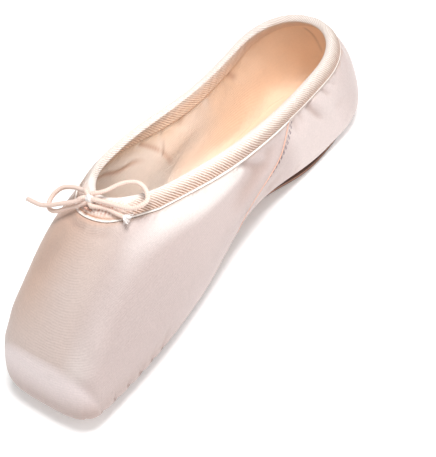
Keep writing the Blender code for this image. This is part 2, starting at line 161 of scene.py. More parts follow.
# Creases of the satin on the wearer's left, in millimetres: how wide and how high each is (a trough is below
# zero), the shares of its length over which it rises and dies, and the points that it runs through. The other
# side has the same ones a little further back and softer.
CREASES = (
    ("wing fold, ridge", 3.6, 1.10, 0.02, 0.60, ((28.4, 10.2, 51.0), (27.9, 15.7, 48.4), (27.3, 22.9, 43.5),
        (27.3, 27.9, 36.5), (27.7, 28.6, 30.2))),
    ("wing fold, trough", 2.2, -2.10, 0.02, 0.75, ((28.3, 13.0, 50.2), (27.6, 18.7, 45.4),
        (27.4, 23.0, 39.5), (27.5, 24.2, 32.0))),
    ("wing fold, pinch", 1.1, -0.90, 0.02, 0.60, ((28.2, 14.2, 50.2), (27.8, 19.0, 47.2),
        (27.5, 24.6, 44.6))),
    ("behind the box", 6.5, -1.10, 0.10, 0.60, ((27.7, 30.0, 38.5), (27.8, 20.0, 33.4), (28.8, 6.0, 32.4),
        (30.2, -8.0, 32.0))),
    ("below the wing", 4.5, -0.70, 0.30, 0.50, ((27.4, 37.0, 42.4), (27.3, 33.0, 36.0),
        (27.8, 26.0, 28.0))),
    ("quarter fold", 2.6, -0.80, 0.05, 0.60, ((27.3, 55.5, 40.4), (27.9, 55.8, 33.0), (28.2, 52.5, 25.5))),
    ("quarter pucker", 1.8, -0.70, 0.02, 0.60, ((27.6, 60.5, 40.6), (28.2, 60.8, 34.0),
        (28.4, 58.0, 27.0))),
    ("heel gather, long", 2.6, -1.60, 0.02, 0.70, ((28.0, 67.5, 40.5), (28.6, 69.5, 33.5),
        (28.9, 72.5, 26.5), (29.0, 77.0, 18.0))),
    ("heel gather, lip", 2.4, 0.80, 0.05, 0.70, ((28.2, 71.0, 40.0), (28.8, 74.0, 33.0),
        (29.1, 78.0, 25.0))),
    ("heel gather, middle", 1.8, -1.20, 0.02, 0.65, ((28.3, 79.0, 40.6), (29.0, 81.5, 34.6),
        (29.4, 85.5, 28.6))),
    ("heel gather, upper", 1.6, -0.90, 0.02, 0.60, ((28.3, 84.5, 41.0), (28.8, 87.0, 36.5),
        (29.0, 91.0, 33.0))),
    ("heel gather, short", 1.3, -0.60, 0.02, 0.60, ((28.2, 90.0, 41.4), (28.2, 92.5, 38.0))),
    ("heel dent", 5.0, -0.80, 0.30, 0.50, ((28.9, 78.0, 24.0), (28.9, 88.0, 24.5), (27.6, 97.0, 27.0))),
    ("waist fold", 3.4, -0.60, 0.30, 0.60, ((28.0, 44.0, 20.0), (27.8, 30.0, 19.0), (27.6, 14.0, 18.0))),
    ("lasting fold, front", 2.0, -0.40, 0.10, 0.60, ((27.0, 6.0, 12.4), (27.2, 11.0, 17.5),
        (27.4, 17.0, 22.0))),
    ("lasting fold, middle", 1.8, -0.35, 0.10, 0.60, ((26.4, 24.0, 13.0), (27.2, 28.0, 18.0),
        (27.4, 33.0, 21.5))),
    ("lasting fold, heel", 1.8, -0.35, 0.10, 0.60, ((26.6, 46.0, 11.0), (27.6, 50.0, 15.5),
        (28.2, 54.0, 18.5))),
    ("vamp edge", 2.4, -0.60, 0.05, 0.50, ((27.0, -17.0, 60.0), (27.9, -11.5, 56.0), (28.8, -5.0, 52.5))),
    ("shoulder wave", 9.0, 0.60, 0.35, 0.35, ((27.0, -12.0, 57.5), (26.6, -34.0, 56.8),
        (25.0, -62.0, 48.0))),
)
MIRROR_BACK = 0.0035
MIRROR_SHARE = 0.40

# Creases that lie on or over the middle line, with the same columns
MIDDLE_CREASES = (
    ("throat dip, left", 2.2, -0.80, 0.20, 0.50, ((2.0, -57.0, 67.6), (-7.0, -57.0, 66.8),
        (-14.5, -53.0, 65.6))),
    ("throat dip, right", 2.6, -0.55, 0.40, 0.40, ((-2.0, -58.0, 67.2), (8.0, -57.4, 66.4),
        (16.0, -52.0, 65.4))),
    ("vamp hollow, left", 7.0, -0.60, 0.35, 0.40, ((-9.0, -60.0, 64.4), (-15.0, -72.0, 56.6),
        (-17.0, -86.0, 47.0))),
)

# Creases of the lining, with the same columns; x is on the wearer's right, and each has its mirror image
LINING_CREASES = (
    ("wing edge", 1.0, 0.70, 0.05, 0.10, ((-27.7, 2.0, 51.5), (-27.1, 8.3, 43.5), (-26.7, 11.8, 37.5),
        (-26.8, 14.0, 30.0), (-26.0, 14.3, 25.0), (-24.5, 12.5, 19.3))),
    ("wing edge, shade", 1.2, -0.55, 0.05, 0.10, ((-27.6, 4.4, 51.2), (-27.0, 10.4, 43.5),
        (-26.6, 13.9, 37.5), (-26.7, 16.1, 30.0), (-26.0, 16.3, 25.0))),
    ("long fold, ridge", 1.9, 1.20, 0.10, 0.45, ((-28.4, -30.5, 57.0), (-29.2, -19.3, 54.6),
        (-29.4, -11.3, 49.2), (-28.4, -3.3, 46.9), (-27.3, 6.7, 39.6))),
    ("long fold, shade", 1.4, -1.00, 0.10, 0.45, ((-28.4, -30.5, 54.4), (-29.2, -19.3, 51.8),
        (-29.4, -11.3, 46.6), (-28.4, -3.3, 44.6), (-27.3, 6.7, 37.4))),
    ("side seam", 0.6, -0.45, 0.05, 0.05, ((-26.1, 20.6, 50.0), (-26.2, 17.4, 42.1), (-26.6, 13.8, 34.3))),
    ("side seam, lip", 1.0, 0.25, 0.05, 0.05, ((-26.1, 18.4, 50.0), (-26.2, 15.4, 42.1),
        (-26.6, 11.8, 34.3))),
    ("pucker, front", 1.8, -0.10, 0.05, 0.60, ((-25.1, 34.6, 50.0), (-25.4, 33.0, 45.0),
        (-25.8, 29.0, 38.0))),
    ("pucker, middle", 2.6, 0.40, 0.05, 0.60, ((-25.4, 47.0, 45.0), (-25.6, 50.0, 38.0),
        (-25.6, 48.0, 30.0))),
    ("pucker, back", 1.8, -0.40, 0.05, 0.60, ((-26.6, 70.0, 42.0), (-27.0, 73.0, 36.0),
        (-27.2, 80.0, 31.0))),
    ("heel line", 0.7, -0.40, 0.10, 0.20, ((-9.0, 113.6, 40.4), (-6.4, 115.8, 34.8), (-5.1, 116.7, 27.6),
        (-4.4, 117.0, 20.0))),
)


def placed(name, data):
    obj = bpy.data.objects.new(name, data)
    COLLECTION.objects.link(obj)
    return obj


def make_camera():
    """The photo's angle to the shoe, found by fitting the collar, the rim and the outline to it."""
    azimuth, elevation, roll = (math.radians(a) for a in (55.68, 44.58, -23.55))
    target, across, above, distance = Vector((0, -0.009, 0.025)), 0.01862, -0.00608, 0.62923
    back = Vector((
        math.sin(azimuth) * math.cos(elevation),
        -math.cos(azimuth) * math.cos(elevation),
        math.sin(elevation),
    ))
    level = Vector((0, 0, 1)).cross(back).normalized()
    upright = back.cross(level)
    right = math.cos(roll) * level + math.sin(roll) * upright
    up = -math.sin(roll) * level + math.cos(roll) * upright
    camera = bpy.data.cameras.new("camera")
    camera.lens = 102.6
    camera.sensor_width = 36
    camera.clip_start = 0.02
    camera.clip_end = 50
    obj = placed("camera", camera)
    place = target + across * right + above * up + distance * back
    obj.matrix_world = Matrix.Translation(place) @ Matrix((right, up, back)).transposed().to_4x4()
    bpy.context.scene.camera = obj


def spline(knots, points, at):
    """Natural cubic through the points, one for each knot, read at the given places."""
    knots = np.asarray(knots, float)
    points = np.asarray(points, float)
    flat = points.ndim == 1
    if flat:
        points = points[:, None]
    count = len(knots)
    gap = np.diff(knots)
    system = np.eye(count)
    right = np.zeros_like(points)
    for i in range(1, count - 1):
        system[i, i - 1:i + 2] = gap[i - 1], 2 * (gap[i - 1] + gap[i]), gap[i]
        right[i] = 6 * ((points[i + 1] - points[i]) / gap[i] - (points[i] - points[i - 1]) / gap[i - 1])
    bend = np.linalg.solve(system, right)
    at = np.clip(np.asarray(at, float), knots[0], knots[-1])
    i = np.clip(np.searchsorted(knots, at, side="right") - 1, 0, count - 2)
    a = ((knots[i + 1] - at) / gap[i])[:, None]
    b = ((at - knots[i]) / gap[i])[:, None]
    h = gap[i][:, None]
    out = a * points[i] + b * points[i + 1] + ((a**3 - a) * bend[i] + (b**3 - b) * bend[i + 1]) * h * h / 6
    return out[:, 0] if flat else out


def smooth(x):
    x = np.clip(x, 0.0, 1.0)
    return x * x * (3 - 2 * x)


def hill(x, centre, width):
    """A soft hill of height one."""
    return np.exp(-((x - centre) / width) ** 2)


def wander(x, seed, count=7, rough=0.7):
    """A smooth wavering line between about -1 and 1 that repeats after 1, the same on each run."""
    rng = np.random.default_rng(seed)
    total = np.zeros_like(np.asarray(x, float))
    for k in range(1, count + 1):
        total = total + rng.normal() * k**-rough * np.sin(2 * math.pi * (k * x + rng.random()))
    return total / 1.6


def lengths_along(points):
    """Run from the first point to each point of a line, or of each line of a grid's second axis."""
    steps = np.linalg.norm(np.diff(points, axis=0), axis=-1)
    return np.concatenate([np.zeros((1, *steps.shape[1:])), np.cumsum(steps, axis=0)])


def read_line(at, run, line):
    """Points of a line, whose own points lie at the given runs."""
    return np.stack([np.interp(at, run, part) for part in line.T], axis=1)


def knots_of(points, least=0.0):
    """Knots a square root of the gap apart, so that a spline through the points doesn't overshoot."""
    step = np.sqrt(np.linalg.norm(np.diff(points, axis=0), axis=1)) + least
    return np.concatenate([[0], np.cumsum(step)])


def unit(way):
    return way / np.linalg.norm(way, axis=-1, keepdims=True)


def sole_curve(y):
    """Height of the underside above the floor at y from the toe: toe spring, flat, arch, flat."""
    share = np.asarray(y, float) / LENGTH
    toe = TOE_SPRING * smooth((FOREFOOT_FLAT[0] - share) / FOREFOOT_FLAT[0])
    span = HEEL_FLAT[0] - FOREFOOT_FLAT[1]
    inside = np.clip((share - FOREFOOT_FLAT[1]) / span, 0.0, 1.0)
    return toe + ARCH * np.sin(math.pi * inside) ** 2


def ring_points(row, along):
    """Half a ring, from the front centre to the back centre, at the given shares of its length."""
    r = dict(zip(RING_COLUMNS, row[1:]))
    around = (1 - np.cos(np.linspace(0, math.pi, 1500))) / 2
    front = r["front"] * VAMP_LENGTH
    back = r["back"] * LENGTH
    y = front + (back - front) * around
    widths = (
        r["toe"] * PLATFORM_WIDTH,
        r["ball"] * BALL_WIDTH,
        r["waist"] * WAIST_WIDTH,
        r["heel"] * HEEL_WIDTH,
        r["heel"] * HEEL_WIDTH,
    )
    half = spline(STATIONS, widths, around)
    nose = np.clip((y - front) / (r["end"] * PLATFORM_WIDTH), 0, 1)
    tail = np.clip((back - y) / (HEEL_END * LENGTH), 0, 1)
    half = half * (1 - (1 - nose) ** r["square"]) ** (1 / r["square"])
    half = half * (1 - (1 - tail) ** HEEL_SQUARE) ** (1 / HEEL_SQUARE)
    front_z = r["toe_z"] * PLATFORM_HEIGHT + r["rise_z"] * (THROAT_HEIGHT - PLATFORM_HEIGHT)
    heights = (front_z, r["ball_z"] * THROAT_HEIGHT, r["waist_z"] * SIDE_HEIGHT, r["heel_z"] * HEEL_HEIGHT)
    z = spline(HEIGHT_STATIONS, heights, around)
    z = z + OUTSOLE_THICKNESS + CLEARANCE + r["lift"] * sole_curve(y)
    points = np.stack([half, y, z], axis=1)
    run = lengths_along(points)
    at = np.asarray(along) * run[-1]
    return read_line(at, run, points)


def half_shell():
    """One side of the upper's outer surface, with the ring place of each row and the place of each column."""
    front = np.linspace(0, len(FRONT_SPACING) - 1, FRONT_FINE + 1)
    behind = np.linspace(0, len(BACK_SPACING) - 1, BACK_FINE + 1)
    gap = np.linspace(0, 1, RUN_FINE + 1)[1:-1]
    columns = np.concatenate([front, front[-1] + gap, front[-1] + 1 + behind])
    seam_at = spline([s[0] for s in SEAM], [s[1] for s in SEAM], np.arange(len(RINGS)))
    rings = []
    for row, seam in zip(RINGS, seam_at):
        crowd = row[1 + RING_COLUMNS.index("crowd")]
        ahead = seam * np.interp(front, np.arange(len(FRONT_SPACING)), FRONT_SPACING) ** crowd
        start = seam + SEAM_RUN / (HALF_RING * LENGTH)
        rear = start + (1 - start) * np.interp(behind, np.arange(len(BACK_SPACING)), BACK_SPACING)
        rings.append(ring_points(row, np.concatenate([ahead, seam + (start - seam) * gap, rear])))
    rings = np.stack(rings)
    last = len(RINGS) - 1
    side = last - 2
    places = np.linspace(0, side, SIDE_ROWS + 1)
    rim = np.gradient(rings[-1], axis=0)
    rim[0] = (1, 0, 0)
    rim[-1] = (-1, 0, 0)
    rim = unit(rim)
    blend = smooth(lengths_along(rings[-1]) / BINDING_BLEND)
    widths = BINDING_FRONT + (BINDING_WIDTH - BINDING_FRONT) * blend
    shell = []
    for j in range(rings.shape[1]):
        points = rings[:, j]
        knots = knots_of(points, 1e-6)
        lower = spline(knots, points, np.interp(places, np.arange(last + 1), knots))
        top = spline(knots, points, np.linspace(knots[side], knots[-1], 400))
        run = lengths_along(top)
        rise = unit(top[-1] - top[-54])
        tape = widths[j] / max(np.linalg.norm(np.cross(rise, rim[j])), 0.5)
        climb = np.linspace(0, run[-1] - tape, VAMP_FINE + 1)[1:]
        over = np.linspace(run[-1] - tape, run[-1], TAPE_FINE + 1)[1:]
        shell.append(np.concatenate([lower, read_line(np.concatenate([climb, over]), run, top)]))
    shell = np.stack(shell, axis=1)
    seat = OUTSOLE_THICKNESS + CLEARANCE + sole_curve(shell[..., 1])
    shell[..., 2] = np.maximum(shell[..., 2], seat)
    place = np.concatenate([
        places,
        side + np.linspace(0, TAPE_PLACE, VAMP_FINE + 1)[1:],
        side + np.linspace(TAPE_PLACE, 2, TAPE_FINE + 1)[1:],
    ])
    return shell, place, columns


def whole(half, flip=False):
    """Both sides of rows that run from the front centre to the back centre."""
    other = half[:, -2:0:-1].copy()
    if flip:
        other[..., 0] *= -1
    return np.concatenate([half, other], axis=1)


def outward(shell):
    """Way out of the surface at each point of a ring grid."""
    around = np.roll(shell, -1, axis=1) - np.roll(shell, 1, axis=1)
    up = np.gradient(shell, axis=0)
    normal = np.cross(around, up)
    return normal / np.maximum(np.linalg.norm(normal, axis=2, keepdims=True), 1e-12)


def wall_of(shell):
    """Wall: stiff and thick in the box, thin in the quarters, and thin where it turns in under the foot."""
    box = 1 - smooth((shell[..., 1] / LENGTH - 0.20) / 0.22)
    rows = np.concatenate([
        np.linspace(0, 15, SIDE_ROWS + 1),
        15 + np.linspace(0, 5, VAMP_FINE + 1)[1:],
        20 + np.linspace(0, 2, TAPE_FINE + 1)[1:],
    ])[:, None] / 22
    rim = smooth((rows - 0.62) / 0.33)
    edge = smooth(rows / 0.12)
    return QUARTER_WALL + (BOX_WALL - QUARTER_WALL) * box * (1 - 0.75 * rim) * (0.4 + 0.6 * edge)


def centred(points):
    moved = np.array(points, float)
    moved[..., 1] -= LENGTH / 2
    return moved


def signed_run(half_run, length):
    """Where each column of a whole ring starts and ends, counted from the front centre, below zero on the
    wearer's right. half_run: from the front centre to the back centre, stretched to the given length."""
    run = np.asarray(half_run) * (length / half_run[-1])
    starts = np.concatenate([run, -run[-2:0:-1]])
    ends = np.concatenate([run[1:], [2 * length - run[-2]], -run[-3:0:-1], [0.0]])
    return starts, ends


def near_line(points, line):
    """Distance of each point to a line through the given points, and how far along it that is, 0 to 1."""
    legs = np.diff(line, axis=0)
    lengths = np.linalg.norm(legs, axis=1)
    run = np.concatenate([[0], np.cumsum(lengths)])
    best = np.full(points.shape[:-1], np.inf)
    along = np.zeros(points.shape[:-1])
    for start, leg, length, done in zip(line, legs, lengths, run):
        t = np.clip(((points - start) @ leg) / length**2, 0, 1)
        gap = np.linalg.norm(points - start - t[..., None] * leg, axis=-1)
        closer = gap < best
        best = np.where(closer, gap, best)
        along = np.where(closer, (done + t * length) / run[-1], along)
    return best, along


def crease(points, row, mirror=False):
    """Height that one row of a table of creases adds at each point, in metres."""
    _, width, height, rising, dying, line = row
    line = np.array(line) / 1000
    if mirror:
        line = line * (-1, 1, 1)
    knots = lengths_along(line)
    if len(line) > 2:
        line = spline(knots, line, np.linspace(0, knots[-1], 13))
    gap, along = near_line(points, line)
    ends = smooth(along / rising) * smooth((1 - along) / dying)
    return height / 1000 * hill(gap, 0, width / 1000) * ends


def mesh_of(name, points, faces, shade, uv, tint):
    """An object from points and faces, with thread counts for each corner and a tint for each point."""
    mesh = bpy.data.meshes.new(name)
    mesh.from_pydata(np.asarray(points).tolist(), [], faces)
    mesh.materials.append(shade)
    mesh.uv_layers.new(name="cloth").data.foreach_set("uv", np.asarray(uv, np.float32).ravel())
    full = np.concatenate([tint, np.ones((len(tint), 1))], axis=1)
    colours = mesh.color_attributes.new("tint", "FLOAT_COLOR", "POINT")
    colours.data.foreach_set("color", full.astype(np.float32).ravel())
    mesh.shade_smooth()
    mesh.update()
    return placed(name, mesh)


def quads(rows, columns):
    """Corners of the faces of a grid that closes on itself both ways."""
    low = np.arange(rows * columns).reshape(rows, columns)
    beside = np.roll(low, -1, axis=1)
    return np.stack([low, beside, np.roll(beside, -1, axis=0), np.roll(low, -1, axis=0)], axis=-1)


def ring_grid(name, grid, shade, starts, ends, rises, tint):
    """A closed surface whose rows run round the shoe, with its threads counted by starts, ends and rises."""
    shape = grid.shape[:2]
    here, there, rises = (np.broadcast_to(values, shape) for values in (starts, ends, rises))
    above = np.roll(rises, -1, axis=0)
    uv = np.stack([
        here, rises, there, np.roll(rises, -1, axis=1), there, np.roll(above, -1, axis=1), here, above,
    ], axis=-1)
    faces = quads(*shape).reshape(-1, 4).tolist()
    return mesh_of(name, grid.reshape(-1, 3), faces, shade, uv, tint.reshape(-1, 3))


class Shade:
    """A material and short ways to add nodes to it."""

    def __init__(self, name, colour, roughness):
        self.material = bpy.data.materials.new(name)
        self.material.use_nodes = True
        self.nodes = self.material.node_tree.nodes
        self.links = self.material.node_tree.links
        self.shader = self.nodes["Principled BSDF"]
        self.set(Base_Color=colour, Roughness=roughness)

    def feed(self, socket, value):
        """A number, a colour or another node's output for a socket."""
        if isinstance(value, tuple):
            socket.default_value = (*value, 1)
        elif isinstance(value, (int, float)):
            socket.default_value = value
        elif value is not None:
            self.links.new(value, socket)

    def set(self, **values):
        for key, value in values.items():
            self.feed(self.shader.inputs[key.replace("_", " ")], value)

    def add(self, kind, **values):
        node = self.nodes.new(kind)
        for key, value in values.items():
            setattr(node, key, value)
        return node

    def math(self, operation, first, second=0.0, third=None, clamp=False):
        node = self.add("ShaderNodeMath", operation=operation, use_clamp=clamp)
        for socket, value in zip(node.inputs, (first, second, third)):
            self.feed(socket, value)
        return node.outputs[0]

    def times(self, value, factor):
        return self.math("MULTIPLY", value, factor)

    def scaled(self, value, factor, plus, clamp=False):
        """value times factor, plus a number or another value."""
        return self.math("MULTIPLY_ADD", value, factor, plus, clamp)

    def uv(self):
        node = self.add("ShaderNodeUVMap", uv_map="cloth")
        parts = self.add("ShaderNodeSeparateXYZ")
        self.feed(parts.inputs[0], node.outputs[0])
        return parts.outputs[0], parts.outputs[1]

    def waves(self, first, spacing, second=None, slant=0.0):
        """Ridges across first, spacing apart, leaning by slant along second."""
        if second is not None:
            first = self.scaled(second, slant, first)
        return self.math("SINE", self.times(first, 2 * math.pi / spacing))

    def noise(self, scale, detail=3.0, roughness=0.5):
        node = self.add("ShaderNodeTexNoise")
        place = self.add("ShaderNodeTexCoord").outputs["Object"]
        for key, value in (("Scale", scale), ("Detail", detail), ("Roughness", roughness), ("Vector", place)):
            self.feed(node.inputs[key], value)
        return node.outputs["Fac"]

    def mix(self, share, first, second, blend="MIX"):
        node = self.add("ShaderNodeMix", data_type="RGBA", blend_type=blend)
        for number, value in ((0, share), (6, first), (7, second)):
            self.feed(node.inputs[number], value)
        return node.outputs[2]

    def bump(self, height, distance, strength=1.0, under=None):
        node = self.add("ShaderNodeBump")
        values = {"Strength": strength, "Distance": distance, "Height": height, "Normal": under}
        for key, value in values.items():
            self.feed(node.inputs[key], value)
        return node.outputs[0]

    def tinted(self, level):
        """The piece's own tint, darker where level is below one, as the colour."""
        tint = self.add("ShaderNodeVertexColor", layer_name="tint").outputs[0]
        self.set(Base_Color=self.mix(1.0, tint, level, "MULTIPLY"))


def satin():
    """Satin: fine threads across the vamp that waver a little, with a faint painted shade in the grooves
    between them, a soft gloss, and a slight fleck of shine.
    """
    shade = Shade("satin", (0.80, 0.66, 0.61), 0.40)
    along, up = shade.uv()
    threads = shade.waves(shade.scaled(shade.noise(120, 2.0), 0.0018, up), 0.00125)
    weave = shade.scaled(shade.waves(along, 0.00085), 0.12, threads)
    slub = shade.noise(1100, 2.0)
    fine = shade.bump(shade.scaled(slub, 1.5, weave), 0.000035)
    # Tint a little darker in the grooves of the weave, a painted shade, and varied by the slub.
    shade.tinted(shade.scaled(slub, 0.26, shade.scaled(weave, 0.017, 0.90)))
    shade.set(
        Normal=shade.bump(shade.noise(70, 2.0), 0.0007, 0.5, fine),
        Roughness=shade.scaled(shade.noise(900, 2.0), 0.22, 0.30),
        Sheen_Weight=0.12, Sheen_Roughness=0.4, Sheen_Tint=(1.0, 0.93, 0.90),
        Coat_Weight=0.18, Coat_Roughness=0.34,
    )
    return shade.material


def twill():
    """Twill tape with ribs that run at a slant across it, but not over its welt or at the throat, and painted
    shade in the grooves between the ribs, deepest on its lower part.
    """
    shade = Shade("twill tape", (0.86, 0.76, 0.71), 0.75)
    along, up = shade.uv()
    wave = shade.waves(along, 0.00182, up, 1.75)
    hollow = shade.math("POWER", shade.scaled(wave, -0.5, 0.5), 1.6)
    above_welt = shade.scaled(up, 900.0, -0.7, clamp=True)
    away = shade.scaled(shade.math("ABSOLUTE", along), 160.0, -2.2, clamp=True)
    lower = shade.scaled(up, -190.0, 1.75, clamp=True)
    deep = shade.times(hollow, shade.scaled(lower, 0.50, 0.50))
    grooves = shade.times(deep, shade.times(above_welt, away))
    height = shade.scaled(shade.noise(1500, 2.0), 1.4, shade.times(grooves, -1.6))
    # Painted shade: a brown tint in the grooves between the ribs.
    groove_shade = shade.mix(grooves, (1.0, 1.0, 1.0), (0.60, 0.42, 0.33))
    shade.tinted(shade.mix(shade.noise(420, 3.0), groove_shade, (0.90, 0.86, 0.82), "MULTIPLY"))
    shade.set(Normal=shade.bump(height, 0.00030), Sheen_Weight=0.15, Sheen_Roughness=0.5)
    return shade.material


def lining():
    """Fine woven cotton with a soft nap and faint patches."""
    shade = Shade("lining", (0.86, 0.68, 0.54), 0.88)
    along, up = shade.uv()
    spacing = 0.00078
    weave = shade.times(shade.waves(along, spacing), shade.waves(up, spacing))
    nap = shade.noise(800, 3.0)
    fine = shade.bump(shade.scaled(nap, 1.6, weave), 0.0001)
    patch = shade.scaled(nap, 0.08, shade.scaled(shade.noise(70, 3.0), 0.16, 0.86))
    shade.tinted(shade.scaled(weave, 0.03, patch))
    rough = shade.bump(shade.noise(90, 3.0), 0.0009, 0.6, fine)
    shade.set(Normal=rough, Sheen_Weight=0.2, Sheen_Roughness=0.6)
    return shade.material


def leather():
    """Brown leather with a fine grain and scuffed patches."""
    shade = Shade("sole leather", (0.20, 0.09, 0.045), 0.6)
    grain = shade.noise(1000, 4.0, 0.6)
    patch = shade.noise(45, 4.0)
    shade.tinted(shade.scaled(grain, 0.25, shade.scaled(patch, 0.9, 0.50)))
    rough = shade.bump(shade.scaled(patch, 0.6, grain), 0.0002)
    shade.set(Normal=rough, Roughness=shade.scaled(grain, 0.3, 0.42))
    return shade.material


def cord_shade():
    """Braided cotton cord: two sets of yarns cross round it, with a faint painted shade where they dip."""
    shade = Shade("cord", (0.88, 0.72, 0.64), 0.7)
    along, around = shade.uv()
    turns = shade.times(along, 2 * math.pi / 0.0018)
    one, two = (shade.math("SINE", shade.math(way, turns, around)) for way in ("ADD", "SUBTRACT"))
    braid = shade.times(one, two)
    height = shade.scaled(shade.noise(1900, 2.0), 1.0, braid)
    # Slightly darker where the braid dips: painted shade.
    shade.tinted(shade.scaled(braid, 0.06, 0.94))
    shade.set(Normal=shade.bump(height, 0.00014), Sheen_Weight=0.3, Sheen_Roughness=0.5)
    return shade.material


def tube(route, radii, segments=14, step=0.0007, flat=1.0):
    """Points, faces and thread counts of a tube on a smooth line through the route, that line and its length.

    radii: (share of the length, radius) pairs. flat: its height, as a share of its width.
    """
    points = np.array(route, float)
    knots = lengths_along(points)
    count = max(5, int(knots[-1] / step) + 1)
    at = np.linspace(0, knots[-1], count)
    line = spline(knots, points, at) if len(points) > 2 else read_line(at, knots, points)
    radius = np.interp(at / knots[-1], [r[0] for r in radii], [r[1] for r in radii])
    ahead = unit(np.gradient(line, axis=0))
    side = np.cross(ahead[0], (0, 0, 1))
    turns = 2 * math.pi * np.arange(segments) / segments
    verts = []
    for p, t, r in zip(line, ahead, radius):
        side = unit(side - t * (side @ t))
        over = np.cross(side, t)
        verts.extend(p + r * (math.cos(turn) * side + flat * math.sin(turn) * over) for turn in turns)
    faces = []
    uvs = []
    for i in range(count - 1):
        for k in range(segments):
            m = (k + 1) % segments
            a, b = i * segments, (i + 1) * segments
            faces.append((a + k, a + m, b + m, b + k))
            turn, after = 2 * math.pi * k / segments, 2 * math.pi * (k + 1) / segments
            uvs.extend([(at[i], turn), (at[i], after), (at[i + 1], after), (at[i + 1], turn)])
    faces.append(tuple(range(segments))[::-1])
    faces.append(tuple((count - 1) * segments + k for k in range(segments)))
    uvs.extend([(0, 0)] * (2 * segments))
    return verts, faces, uvs, line, knots[-1]


def tube_piece(name, tubes, shade, tints):
    """One object of several tubes, with a tint for each."""
    verts = []
    faces = []
    uvs = []
    shown = []
    for made, tint in zip(tubes, tints):
        base = len(verts)
        verts.extend(made[0])
        faces.extend(tuple(i + base for i in face) for face in made[1])
        uvs.extend(made[2])
        shown.extend([tint] * len(made[0]))
    return mesh_of(name, verts, faces, shade, uvs, np.array(shown))


def ride(piece, slot, *nodes):
    """Puts a piece on the shoe's one body in place of the named solids, which it hides; the slot is not used.
    """
    if nodes:
        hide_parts(*nodes)
    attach(piece, "root")
    return piece


CORD_TINT = (0.96, 0.74, 0.64)
# Pale tint of the frayed cotton, also laid on the knot's rings as a painted highlight.
FRAY_AND_KNOT_HIGHLIGHT_TINT = (1.0, 0.96, 0.94)


def fibres(root, ahead, count, length, spread, seed):
    """Fine loose fibres from a cut end."""
    rng = np.random.default_rng(seed)
    ahead = unit(ahead)
    side = unit(np.cross(ahead, (0, 0, 1)))
    over = np.cross(side, ahead)
    made = []
    for _ in range(count):
        a, b = rng.uniform(-1, 1, 2)
        reach = length * rng.uniform(0.6, 1.0)
        start = root + 0.0007 * (a * side + 0.5 * b * over)
        middle = start + reach * 0.5 * ahead + spread * 0.4 * a * side
        end = start + reach * ahead + spread * a * side + 0.0004 * b * over
        made.append(tube((start, middle, end), ((0, 0.00016), (1, 0.00008)), 5, 0.0008))
    return made


def make_knot(shade):
    """Three rings of cord round a core, and a short piece from it into every strand that starts near it."""
    radius = CORD_DIAMETER / 2
    x, y, z = KNOT_CENTRE
    wraps = []
    for tilt, swing, size in ((0.25, 0.1, 0.00155), (1.05, 1.2, 0.0014), (-0.7, -0.6, 0.00145)):
        ring = []
        for k in range(13):
            turn = 2 * math.pi * k / 12
            u, v = size * math.cos(turn), size * math.sin(turn)
            ring.append((
                x + u * math.cos(tilt) + 0.0004 * math.cos(swing),
                y + u * math.sin(tilt) + 0.0003 * math.sin(swing),
                z + v,
            ))
        wraps.append(tube(ring, ((0, radius * 0.92), (1, radius * 0.92)), 12, 0.0005))
    # The knot's rings take the pale tint: a painted highlight.
    tints = [FRAY_AND_KNOT_HIGHLIGHT_TINT] * len(wraps)
    for route in CORD_ROUTES.values():
        for tip, beyond in ((route[0], route[1]), (route[-1], route[-2])):
            if math.dist(tip, KNOT_CENTRE) < 2.2 * CORD_DIAMETER:
                outer = np.array(tip) + 0.5 * (np.array(beyond) - tip)
                reach = (KNOT_CENTRE, tip, tuple(outer))
                wraps.append(tube(reach, ((0, radius), (0.5, radius * 1.08), (1, radius * 0.95)), 12, 0.0005))
    heart = ((x - 0.0016, y + 0.0004, z + 0.0002), (x, y, z), (x + 0.0016, y - 0.0004, z + 0.0001))
    wraps.append(tube(heart, ((0, 0.0008), (0.5, 0.0017), (1, 0.0008)), 12, 0.0004))
    tints += [CORD_TINT] * (len(wraps) - len(tints))
    return ride(tube_piece("drawstring_half_bow", wraps, shade, tints), "cord", "drawstring_knot")


def make_cords(shade, loose):
    """The bow with its knot, and the frayed ends of its two loose cords."""
    radius = CORD_DIAMETER / 2
    made = {}
    for name, route in CORD_ROUTES.items():
        shape = tube(route, ((0, radius), (1, radius)), flat=0.86)
        obj = ride(tube_piece("cord_" + name, [shape], shade, [CORD_TINT]), "cord", name)
        made[name] = (obj, shape[3], shape[4])
    knot = make_knot(shade)
    end_left, line_end, long_end = made["drawstring_end_left"]
    end_right, line_short, _ = made["drawstring_end_right"]
    tuft = fibres(line_short[-1] + (0, 0, 0.0003), line_short[-1] - line_short[-4], 44, 0.0042, 0.0030, 5)
    brush = fibres(line_end[-1], line_end[-1] - line_end[-4], 12, 0.0012, 0.0007, 8)
    ride(tube_piece("drawstring_tuft", tuft, loose, [FRAY_AND_KNOT_HIGHLIGHT_TINT] * len(tuft)), "cord")
    brush_piece = ride(tube_piece("drawstring_brush", brush, shade, [CORD_TINT] * len(brush)), "cord")


def fray():
    """Loose cotton fibres: pale and soft."""
    shade = Shade("frayed cotton", (1.0, 0.96, 0.94), 0.9)
    shade.tinted(shade.scaled(shade.noise(600, 2.0), 0.10, 0.93))
    shade.set(Sheen_Weight=0.6, Sheen_Roughness=0.5)
    return shade.material


